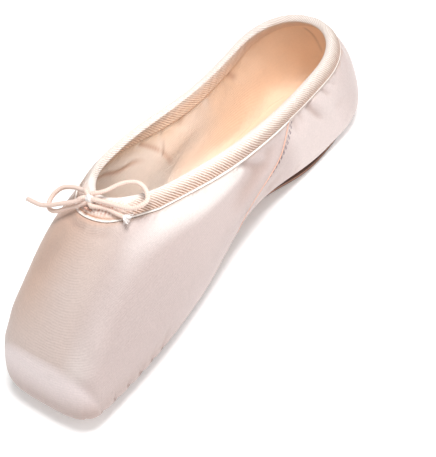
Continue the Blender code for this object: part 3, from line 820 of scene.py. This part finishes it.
class Skin:
    """The upper's two faces with their creases, and ways to find a spot on them."""

    def __init__(self):
        self.half, self.place, self.columns = half_shell()
        self.shell = centred(whole(self.half, flip=True))
        self.normal = outward(self.shell)
        self.wall = wall_of(whole(self.half))
        self.column = whole(np.tile(self.columns, (len(self.half), 1)))
        self.count = self.shell.shape[1]
        self.middle = len(self.columns) - 1
        rise = lengths_along(self.half)
        self.rise = whole(rise - rise[SIDE_ROWS])
        tape_edge = rise[-TAPE_FINE - 1]
        self.below_tape = whole(tape_edge - rise)
        collar_run = lengths_along(self.half[-1])
        self.starts, self.ends = signed_run(lengths_along(self.half[SIDE_ROWS]), GIRTH)
        self.rim_starts, self.rim_ends = signed_run(collar_run, COLLAR)
        ahead = smooth((SEAM_COLUMN + 0.5 - self.column) / 0.5)
        self.step = smooth((self.place - 1.3) / 1.7)[:, None] * ahead
        self.step[-TAPE_FINE:] = 0
        self.relief = self.satin_relief()
        self.outer = self.shell + self.normal * (SEAM_STEP * self.step + self.relief)[..., None]
        self.inner = self.shell + self.normal * (self.lining_relief() - self.wall)[..., None]

    def satin_relief(self):
        """Heights of the creases, gathers and pleats above the plain shell."""
        points = self.shell
        x, y, z = (points[..., k] for k in range(3))
        total = np.zeros(x.shape)
        for row in CREASES:
            total += crease(points, row)
            total += MIRROR_SHARE * crease(points - (0, MIRROR_BACK, 0), row, mirror=True)
        for row in MIDDLE_CREASES:
            total += crease(points, row)

        run = self.rim_starts[None, :] / COLLAR
        quarter = smooth((np.abs(run) - 0.40) / 0.12)
        gather = np.sin(2 * math.pi * (27 * run + 0.6 * wander(run / 2, 3)))
        gather = gather * (0.55 + 0.45 * wander(run / 2, 4, 9, 0.3))
        total += 0.00040 * gather * hill(self.below_tape, 0, 0.0050) * (0.35 + 0.65 * quarter)
        pull = np.sin(2 * math.pi * (64 * run + 0.8 * wander(run / 2, 12)))
        total += 0.00010 * pull * hill(self.below_tape, 0, 0.0022)

        span = self.starts[None, :] / GIRTH
        waves = wander(span / 2 + 6 * self.rise, 21, 6) + wander(span / 2 - 10 * self.rise, 22, 6)
        soft = smooth((y + 0.020) / 0.050)
        total += 0.00026 * waves * soft

        rim = np.array([self.spot(p, c, 1, self.shell) for p, c in PLATFORM_EDGE])
        rim = np.concatenate([rim[:0:-1] * (-1, 1, 1), rim])
        gap, along = near_line(points, rim)
        front = y < -0.100
        total += 0.00014 * hill(gap, 0, 0.0022) * front
        face = smooth((-0.1085 - y) / 0.004) * smooth((self.place[:, None] - 2.2) / 0.6)
        total -= 0.00020 * face * smooth(gap / 0.003) * (z < 0.034)

        total += self.pleats()
        clear = smooth(self.below_tape / 0.0020)
        underneath = smooth((self.place[:, None] - 0.2) / 0.5)
        total = total * clear * underneath
        low = smooth((self.place[:, None] - 1.9) / 0.5)
        return np.where(total > 0, total * low, total)

    def pleats(self):
        """Satin gathered under the toe: each pleat is a sharp fold that fades up the side."""
        level = int(np.argmin(np.abs(self.place - 2.3)))
        run = lengths_along(self.half[level])
        run, _ = signed_run(run, run[-1])
        reach = np.abs(run)
        pitch = 0.0072
        phase = reach / pitch + 0.22 * wander(run / 0.6, 31, 8, 0.2) + 0.40
        share = phase - np.floor(phase)
        number = np.floor(phase).astype(int) + 40 * (run < 0)
        rng = np.random.default_rng(7)
        sizes = rng.uniform(0.65, 1.15, 120)
        heights = rng.uniform(-0.25, 0.35, 120)
        fold = np.minimum(smooth((1 - share) / 0.13), smooth(0.30 + share / 0.60))
        depth = (1 - fold) * sizes[number]
        top = 3.50 + heights[number]
        place = self.place[:, None]
        fade = smooth((top[None, :] - place) / 1.30) * smooth((place - 0.25) / 0.8)
        side = 1 - smooth((reach - 0.062) / 0.022)
        front = 0.12 + 0.88 * smooth((reach - 0.018) / 0.014)
        return -0.0019 * depth[None, :] * fade * (side * front)[None, :]

    def lining_relief(self):
        points = self.shell
        follow = smooth((points[..., 1] + 0.045) / 0.04)
        total = self.relief * follow
        for row in LINING_CREASES:
            total -= crease(points, row)
            total -= crease(points, row, mirror=True)
        run = self.rim_starts[None, :] / COLLAR
        gather = np.sin(2 * math.pi * (22 * run + 0.7 * wander(run / 2, 14)))
        total += 0.00030 * gather * hill(self.below_tape, 0, 0.0060)
        clear = smooth(self.below_tape / 0.0020)
        return np.minimum(total, self.relief + 0.35 * self.wall) * clear

    def spot(self, place, column, side, grid):
        """A point of the grid by ring place and column, on the wearer's left (1) or right (-1)."""
        i = np.interp(place, self.place, np.arange(len(self.place)))
        j = np.interp(column, self.columns, np.arange(len(self.columns)))
        if side < 0:
            j = self.count - j
        i0 = min(int(i), len(self.place) - 2)
        j0 = int(j)
        a, b = i - i0, j - j0
        row = (1 - a) * grid[i0] + a * grid[i0 + 1]
        return (1 - b) * row[j0 % self.count] + b * row[(j0 + 1) % self.count]

    def behind(self, place, column, distance, side):
        """The column that lies the given distance behind another one, at the same place."""
        here = self.spot(place, column, side, self.shell)
        there = self.spot(place, column + 0.5, side, self.shell)
        return column + 0.5 * distance / np.linalg.norm(there - here)


# Edge of the platform on the wearer's left, by ring place and column
PLATFORM_EDGE = (
    (3.82, 0.0), (3.98, 1.2), (4.10, 2.6), (4.04, 3.6), (3.86, 4.4), (3.40, 5.05), (2.80, 5.25), (2.30, 5.25),
)

# Tints of the cloth, most of the satin's being painted light and shade, and the line of a painted highlight
# along the shoulder beside the tape, in millimetres
SATIN_TINT = (0.600, 0.490, 0.450)
SATIN_PAINTED_SIDE_SHADE = (0.515, 0.415, 0.393)
SATIN_PAINTED_WARM_SHADE = (0.560, 0.385, 0.300)
SATIN_PAINTED_FACE_SHEEN = (0.80, 0.69, 0.68)
SATIN_PAINTED_HIGHLIGHT = (0.76, 0.69, 0.66)
SATIN_PAINTED_QUARTER_LIGHT = (0.63, 0.53, 0.505)
SATIN_PAINTED_CAVITY_SHADE = (0.40, 0.275, 0.235)
HIGHLIGHT_LINE = ((28.6, 11.0, 50.0), (28.4, 2.0, 51.5), (27.4, -14.0, 54.5), (25.0, -32.0, 57.5), (21.5, -52.0, 56.0),
         (20.5, -72.0, 47.0), (21.5, -92.0, 38.0), (22.0, -104.0, 32.0))
LINING_PALE = (1.00, 0.86, 0.76)
LINING_PEACH = (0.97, 0.75, 0.60)
LINING_DEEP = (1.00, 0.73, 0.53)
LINING_SHADE = (0.62, 0.33, 0.20)
SEAM_BROWN_AND_PAINTED_SHADOW = (0.46, 0.29, 0.20)


def blended(first, second, share):
    return first + (np.array(second) - first) * np.clip(share, 0, 1)[..., None]


def make_upper(skin, shade):
    """The satin, from the edge under the insole up to the rim, with painted shade, shadow, sheen and
    highlight in its tint.
    """
    back = skin.outer - skin.normal * (0.40 * skin.wall)[..., None]
    keep = np.append(np.arange(len(back) - 1, 0, -3), 0)
    grid = np.concatenate([skin.outer, back[keep]])
    rises = np.concatenate([skin.rise, skin.rise[keep]])
    x, y, z = (grid[..., k] for k in range(3))
    tint = np.tile(np.array(SATIN_TINT), (*x.shape, 1))
    # Painted shade: a cooler, darker tint on the near side wall.
    tint = blended(tint, SATIN_PAINTED_SIDE_SHADE, smooth((x - 0.012) / 0.014))
    # Painted warm shade over the wearer's right of the vamp.
    left = smooth((0.008 - x) / 0.026) * smooth((-0.040 - y) / 0.010) * smooth((y + 0.113) / 0.035)
    tint = blended(tint, SATIN_PAINTED_WARM_SHADE, 0.85 * left)
    # Painted warm shadow round the throat, below the tape.
    throat = hill(np.hypot(x + 0.004, y + 0.060), 0, 0.016) * (z > 0.055)
    tint = blended(tint, SATIN_PAINTED_WARM_SHADE, 0.5 * throat)
    # Painted sheen: the platform face is painted paler.
    tint = blended(tint, SATIN_PAINTED_FACE_SHEEN, smooth((-0.1075 - y) / 0.004) * (z < 0.034))
    # The same painted shade on the far side wall behind the box.
    far_side_shade = smooth((-0.018 - x) / 0.010) * smooth((y + 0.030) / 0.03)
    tint = blended(tint, SATIN_PAINTED_SIDE_SHADE, far_side_shade)
    # Painted highlight: a paler band along the shoulder beside the tape.
    gap, _ = near_line(grid, np.array(HIGHLIGHT_LINE) / 1000)
    near = smooth((y + 0.075) / 0.050)
    highlight_band = smooth((0.0100 - gap) / (0.0095 - 0.0035 * near))
    tint = blended(tint, SATIN_PAINTED_HIGHLIGHT, (0.55 + 0.45 * near) * highlight_band)
    # Painted light: the quarter is painted paler, less so towards the heel.
    quarter = smooth((y - 0.042) / 0.012) * (1 - 0.8 * smooth((y - 0.080) / 0.02))
    tint = blended(tint, SATIN_PAINTED_QUARTER_LIGHT, quarter)
    # Painted shade in the troughs of the creases and pleats.
    relief = np.concatenate([skin.relief, skin.relief[keep]])
    tint = blended(tint, SATIN_PAINTED_CAVITY_SHADE, 0.75 * np.clip((-relief - 0.0002) / 0.0012, 0, 1))
    # Painted shade low on the forefoot, and at the foot of the platform face.
    low = smooth((0.0190 - z) / 0.0120) * smooth((-0.040 - y) / 0.030)
    tint = blended(tint, SATIN_PAINTED_CAVITY_SHADE, 0.50 * low)
    tint = blended(tint, SATIN_PAINTED_CAVITY_SHADE, 0.75 * smooth((0.027 - z) / 0.017) * smooth((-0.1075 - y) / 0.004))
    # Painted shadow: a thin brown line on the satin just below the tape's edge.
    under = np.concatenate([skin.below_tape, skin.below_tape[keep]])
    tint = blended(tint, SEAM_BROWN_AND_PAINTED_SHADOW, 0.55 * hill(under, 0.0002, 0.0011))
    # Painted shadow: a deeper orange line below the tape at the throat.
    middle = hill(under, 0.0002, 0.0014) * hill(x, 0, 0.012) * (y < -0.04)
    tint = blended(tint, (0.80, 0.52, 0.40), 0.75 * middle)
    piece = ring_grid("upper_satin", grid, shade, skin.starts, skin.ends, rises, tint)
    return ride(piece, "satin", "upper")


def make_lining(skin, shade):
    """The cotton inside the shoe, with the stiff wings of the box showing through it and light and shade
    painted along its creases.
    """
    back = skin.inner + skin.normal * (0.10 * skin.wall)[..., None]
    keep = np.append(np.arange(0, len(back) - 1, 3), len(back) - 1)
    grid = np.concatenate([skin.inner[::-1], back[keep]])
    rises = np.concatenate([skin.rise[::-1], skin.rise[keep]])
    x, y, z = (grid[..., k] for k in range(3))
    tint = np.tile(np.array(LINING_PALE), (*x.shape, 1))
    heel = smooth((y - 0.012) / 0.050)
    tint = blended(tint, LINING_PEACH, smooth((y - 0.006) / 0.016) * 0.8)
    tint = blended(tint, LINING_DEEP, heel)
    under = np.concatenate([skin.below_tape[::-1], skin.below_tape[keep]])
    tint = blended(tint, LINING_DEEP, 0.75 * hill(under, 0.002, 0.0055))
    pale = hill(np.hypot(y - 0.040, z - 0.036), 0, 0.014) * (x < 0)
    tint = blended(tint, LINING_PALE, 0.6 * pale)
    # Painted light on the ridges of the creases, painted shade in their troughs, and brown along the seams.
    for row in LINING_CREASES:
        seam = row[0] in ("side seam", "heel line")
        colour = LINING_PALE if row[2] > 0 else SEAM_BROWN_AND_PAINTED_SHADOW if seam else LINING_SHADE
        for mirror in (False, True):
            depth = np.abs(crease(grid, row, mirror)) / abs(row[2] / 1000)
            tint = blended(tint, colour, (0.75 if seam else 0.70) * depth)
    piece = ring_grid("upper_lining", grid, shade, skin.starts, skin.ends, rises, tint)
    return ride(piece, "lining", "upper")


# Outer leg of the tape from its sewn edge to the fold: share across, swell and tint. The tints are painted
# light and shade: a painted highlight on the welt, painted shade in the channel beside it and down the lower
# part, and paler towards the fold where the light falls.
TAPE_PROFILE_WITH_PAINTED_LIGHT = (
    (0.00, 0.00042, (0.92, 0.82, 0.76)),
    (0.04, 0.00064, (1.00, 0.95, 0.92)),
    (0.09, 0.00066, (1.00, 0.94, 0.90)),
    (0.13, 0.00070, (0.76, 0.57, 0.47)),
    (0.22, 0.00092, (0.80, 0.62, 0.53)),
    (0.45, 0.00135, (0.79, 0.655, 0.585)),
    (0.70, 0.00160, (0.87, 0.77, 0.70)),
    (1.00, 0.00130, (0.95, 0.89, 0.85)),
)
# Inner leg the same way: warm at its edge and pale at the fold.
INNER_TAPE = (
    (0.00, 0.00060, (0.98, 0.70, 0.52)),
    (0.10, 0.00085, (1.00, 0.78, 0.62)),
    (0.40, 0.00095, (0.98, 0.74, 0.58)),
    (1.00, 0.00115, (0.95, 0.84, 0.76)),
)


def make_binding(skin, shade):
    """Tape over the rim: a sewn edge, a channel that the drawstring fills, the fold and an inner leg."""
    rows = slice(-TAPE_FINE - 1, None)
    across = np.linspace(0, 1, TAPE_FINE + 1)
    run = skin.rim_starts / COLLAR
    throat = hill(skin.rim_starts, 0, 0.018)
    rng = np.random.default_rng(11)
    crinkle = rng.uniform(-1, 1, (64, 180))

    def leg(face, normal, profile, count, seed):
        """Rows of one leg, from its edge to the fold, with their tints."""
        at = np.concatenate([np.linspace(0, 0.24, 9), np.linspace(0.28, 1, count - 9)])
        stations, swells, colours = zip(*profile)
        swell = np.interp(at, stations, swells)
        tints = read_line(at, stations, np.array(colours))
        points, way = (
            np.stack([read_line(at, across, grid[:, j]) for j in range(skin.count)], axis=1)
            for grid in (face, normal)
        )
        pucker = np.sin(2 * math.pi * (30 * run + 0.8 * wander(run / 2, seed, 9, 0.3)))
        body = np.sin(math.pi * np.clip((at - 0.16) / 0.84, 0, 1))[:, None]
        lift = swell[:, None] + 0.00014 * pucker[None, :] * body
        gather = np.sin(2 * math.pi * (78 * run + 1.5 * wander(run / 2, seed + 1, 12, 0.2)))
        i = (at * 30).astype(int)[:, None] % 64
        j = (np.abs(skin.rim_starts) / 0.0011).astype(int)[None, :] % 180
        rough = 0.6 * gather[None, :] + 0.9 * crinkle[i, j]
        lift = lift + 0.00030 * rough * throat[None, :] * body
        shown = np.tile(tints[:, None, :], (1, skin.count, 1))
        # Paler at the throat, where the profile's painted shade is lifted.
        shown = blended(shown, (1.0, 0.90, 0.85), (0.8 * throat[None, :] * body))
        # Painted shade in the hollows of the gathers at the throat.
        hollow_shade = np.clip(-1.6 * rough - 0.1, 0, 1) * throat[None, :] * body
        shown = blended(shown, (0.66, 0.30, 0.22), 0.9 * hollow_shade)
        # Painted shadow along the tape's lower edge at the throat.
        edge = hill(at, 0.15, 0.045)[:, None] * hill(skin.rim_starts, 0, 0.012)[None, :]
        shown = blended(shown, (0.62, 0.28, 0.16), 0.9 * edge)
        return points + way * lift[..., None], shown

    normal = skin.normal[rows]
    outer, inner = skin.outer[rows], skin.inner[rows]
    out_face, out_tint = leg(outer, normal, TAPE_PROFILE_WITH_PAINTED_LIGHT, 26, 41)
    in_face, in_tint = leg(inner, -normal, INNER_TAPE, 18, 43)
    up = unit(outer[-1] - outer[-3])
    middle = (out_face[-1] + in_face[-1]) / 2
    reach = (out_face[-1] - in_face[-1]) / 2
    turns = np.linspace(0, math.pi, 11)[1:-1]
    fold = np.stack([middle + reach * math.cos(t) + up * (0.0012 * math.sin(t)) for t in turns])
    fold_tint = np.tile(np.array((0.94, 0.88, 0.84)), (len(fold), skin.count, 1))
    out_back = (outer + normal * CLEARANCE)[::-3]
    in_back = (inner - normal * CLEARANCE)[::3]
    grid = np.concatenate([out_face, fold, in_face[::-1], in_back, out_back])
    back_tint = np.tile(np.array((0.86, 0.74, 0.66)), (len(in_back) + len(out_back), skin.count, 1))
    tint = np.concatenate([out_tint, fold_tint, in_tint[::-1], back_tint])
    rises = lengths_along(grid).mean(axis=1)[:, None]
    return ride(
        ring_grid("binding_tape", grid, shade, skin.rim_starts, skin.rim_ends, rises, tint),
        "tape", "collar_binding",
    )


def make_seams(skin, shade):
    """Where each quarter is lapped: the folded edge of the vamp, tinted orange as a painted shadow line along
    the lap, and two rows of stitches behind it.
    """
    top = 6.68
    thread = 0.00020
    edges = []
    stitches = []
    for side in (1, -1):
        line = [
            skin.spot(p, SEAM_COLUMN + 0.35, side, skin.outer)
            + 0.00022 * skin.spot(p, SEAM_COLUMN, side, skin.normal)
            for p in np.linspace(2.3, top, 40)
        ]
        edges.append(tube(line, ((0, 0.0003), (0.1, 0.00055), (1, 0.00055)), 8, 0.0008, 0.7))
        for distance, shift in ((0.0026, 0.0), (0.0041, 0.5)):
            spots = [
                (p, skin.behind(p, SEAM_COLUMN + 1, distance, side), side) for p in np.linspace(2.5, top, 300)
            ]
            path = np.stack([skin.spot(*spot, skin.outer) for spot in spots])
            out = np.stack([skin.spot(*spot, skin.normal) for spot in spots])
            run = lengths_along(path)
            for k in range(int(run[-1] / STITCH) - 1):
                at = (k + 0.3 + shift * 0.5) * STITCH + np.array((0.0, 0.45, 0.85, 1.25, 1.7)) * 0.001
                lift = np.array((-0.0002, 0.00006, 0.00010, 0.00006, -0.0002))
                points = read_line(at, run, path) + read_line(at, run, out) * lift[:, None]
                stitches.append(tube(points, ((0, thread), (1, thread)), 6, 0.0004))
    # A short curl of cord where the drawstring comes out, in a dark tint that paints the shade of its hole.
    under_knot = skin.spot(6.80, 0.0, 1, skin.outer) + 0.0022 * skin.spot(6.80, 0.0, 1, skin.normal)
    curl = [
        under_knot + (0.0015 * math.cos(t) - 0.0012, -0.0006 * math.sin(t), 0.0012 * math.sin(t))
        for t in np.linspace(1.2, 5.4, 9)
    ]
    curl = tube(curl, ((0, 0.0006), (1, 0.0006)), 10, 0.0004)
    ride(tube_piece("drawstring_exit_painted_shade", [curl], shade, [(0.72, 0.40, 0.30)]), "cord")
    # The folded edge is real; its orange tint is a painted shadow line.
    ride(tube_piece("vamp_folded_edge_painted_shadow", edges, shade, [(0.86, 0.50, 0.38)] * len(edges)), "satin")
    ride(tube_piece("quarter_stitches", stitches, shade, [(0.33, 0.26, 0.28)] * len(stitches)), "satin")


def outsole_outline(count):
    """Right half of the outsole's edge, from its front centre to its back centre."""
    points = np.array([(row[1] * row[2], row[0] * LENGTH) for row in OUTSOLE])
    knots = knots_of(points)
    line = spline(knots, points, np.linspace(0, knots[-1], 600))
    line[:, 0] = np.maximum(line[:, 0], 0)
    line[[0, -1], 0] = 0
    run = lengths_along(line)
    return read_line(np.linspace(0, run[-1], count), run, line)



def plate(name, edge, height, shade, profile, heel_tint=None):
    """A flat piece from half its outline, drawn in towards a spine along its middle.

    profile: rows of (inset, level, tint) from the middle of its underside round its edge to the middle of its
    top; an inset of one reaches the spine.
    """
    rows = []
    tints = []
    spine = np.stack([
        np.zeros(len(edge)), np.clip(edge[:, 1], edge[0, 1] + SPINE_END, edge[-1, 1] - SPINE_END),
    ], axis=1)
    away = edge[:, :2] - spine
    reach = np.linalg.norm(away, axis=1)
    for inset, level, tint in profile:
        share = 0 * reach if inset >= 1 else np.maximum(1 - inset / reach, 0)
        at = spine + away * share[:, None]
        rows.append(np.stack([at[:, 0], at[:, 1], height(at[:, 1], level)], axis=1))
        tints.append(np.tile(np.array(tint), (2 * len(edge) - 2, 1)))
    grid = centred(whole(np.stack(rows), flip=True))
    faces = quads(*grid.shape[:2])[:-1].reshape(-1, 4)
    points = grid.reshape(-1, 3)
    shown = np.concatenate(tints)
    if heel_tint is not None:
        shown = blended(shown, heel_tint, smooth((points[:, 1] + 0.005) / 0.060))
    return mesh_of(name, points, faces.tolist(), shade, points[faces, :2], shown)


def make_outsole(shade):
    """Leather cut narrower than the shoe, its edge in two dark lines with the raw leather between them."""
    brown = (0.26, 0.125, 0.07)
    dark = (0.075, 0.03, 0.018)
    raw = (0.27, 0.125, 0.07)
    margin = OUTSOLE_MARGIN + OUTSOLE_BEVEL
    bevel = OUTSOLE_BEVEL / OUTSOLE_THICKNESS
    profile = [(1.0, 0.0, brown)]
    profile += [(margin + 0.012 - 0.003 * k, 0.0, brown) for k in range(4)]
    profile += [
        (margin + 0.0012, 0.0, brown), (margin + 0.0008, 0.08, dark), (margin + 0.0004, 0.0, brown),
        (OUTSOLE_BEVEL * 1.6, 0.0, brown), (OUTSOLE_BEVEL * 0.7, bevel * 0.25, dark),
        (0.0, bevel + 0.12, dark),
        (0.00004, bevel + 0.20, raw), (0.00004, 0.58, raw), (0.0, 0.66, dark), (0.0, 1 - bevel, dark),
        (OUTSOLE_BEVEL, 1.0, dark), (margin, 1.0, brown), (1.0, 1.0, brown),
    ]

    def height(y, share):
        return sole_curve(y) + OUTSOLE_THICKNESS * share

    piece = plate("leather_sole", outsole_outline(150), height, shade, profile)
    return ride(piece, "sole_leather", "outsole")


def make_insole(skin, shade):
    """The sock over the lasting edge, a little dished and turned down round its edge."""
    level = int(np.argmin(np.abs(skin.place - 1.0)))
    plain = skin.half - (skin.normal * skin.wall[..., None])[:, :skin.middle + 1]
    edge = plain[level, :, :2].copy()
    edge[:, 0] = np.maximum(edge[:, 0] - CLEARANCE * 2, 0)
    centre = (edge[0, 1] + edge[-1, 1]) / 2
    edge[:, 1] = centre + (edge[:, 1] - centre) * (1 - 2 * CLEARANCE / (edge[-1, 1] - edge[0, 1]))
    edge[[0, -1], 0] = 0
    order = np.argsort(plain[level, :, 1])
    stations = np.linspace(0, LENGTH, 160)
    base = np.interp(stations, plain[level, order, 1], plain[:level + 1, :, 2].max(axis=0)[order])
    base = np.maximum(base, OUTSOLE_THICKNESS + CLEARANCE + QUARTER_WALL)

    def height(y, share):
        return np.interp(y, stations, base) + CLEARANCE + INSOLE_THICKNESS * share

    # Darker on the underside, round the turned-down edge and in a groove along the rim; paler on top.
    pale = (0.98, 0.86, 0.76)
    darker_tone = (0.92, 0.76, 0.64)
    profile = [
        (1.0, 0.0, darker_tone), (0.004, 0.0, darker_tone), (0.0, 0.05, darker_tone), (0.0, 0.70, darker_tone), (0.0006, 0.98, pale),
        (0.0016, 1.0, pale), (0.0024, 0.80, darker_tone), (0.0032, 1.0, pale), (0.006, 0.97, pale),
        (0.010, 0.90, pale), (0.014, 0.85, pale), (1.0, 0.80, pale),
    ]
    return ride(plate("insole_sock", edge, height, shade, profile, LINING_DEEP), "lining", "insole")


def make_stage():
    shade = Shade("floor", (0.93, 0.93, 0.93), 0.8)
    shade.set(Emission_Color=(1.0, 1.0, 1.0), Emission_Strength=0.22)
    mesh = bpy.data.meshes.new("floor")
    mesh.from_pydata([(-4, -4, 0), (4, -4, 0), (4, 4, 0), (-4, 4, 0)], [], [(0, 1, 2, 3)])
    mesh.materials.append(shade.material)
    floor = placed("floor", mesh)
    world = bpy.data.worlds.new("world")
    world.use_nodes = True
    background = world.node_tree.nodes["Background"]
    background.inputs[0].default_value = (1.0, 1.0, 1.0, 1)
    background.inputs[1].default_value = 0.34
    bpy.context.scene.world = world
    bpy.context.scene.view_settings.view_transform = "Standard"


def area_light(name, place, target, size, energy, colour=(1, 1, 1), spread=180):
    lamp = bpy.data.lights.new(name, "AREA")
    lamp.size = size
    lamp.energy = energy
    lamp.color = colour
    lamp.spread = math.radians(spread)
    obj = placed(name, lamp)
    obj.location = place
    obj.visible_camera = False
    obj.rotation_euler = (Vector(target) - Vector(place)).to_track_quat("-Z", "Y").to_euler()


make_camera()
CORD = cord_shade()
make_cords(CORD, fray())
SATIN, LINING, TAPE, LEATHER = satin(), lining(), twill(), leather()
SKIN = Skin()
make_upper(SKIN, SATIN)
make_lining(SKIN, LINING)
make_binding(SKIN, TAPE)
make_seams(SKIN, CORD)
make_outsole(LEATHER)
make_insole(SKIN, LINING)
make_stage()
area_light("key", (0.30, 0.13, 1.05), (0, 0, 0.03), 0.40, 10)
area_light("side", (1.00, -0.10, 0.80), (0, 0.02, 0.03), 0.70, 3.6)
area_light("inside", (0.055, 0.005, 0.150), (-0.022, 0.030, 0.036), 0.06, 0.016, (1.0, 0.97, 0.94), 80)
area_light("fill", (-0.7, -0.9, 0.7), (0, 0, 0.03), 1.2, 2, (1.0, 0.92, 0.85))
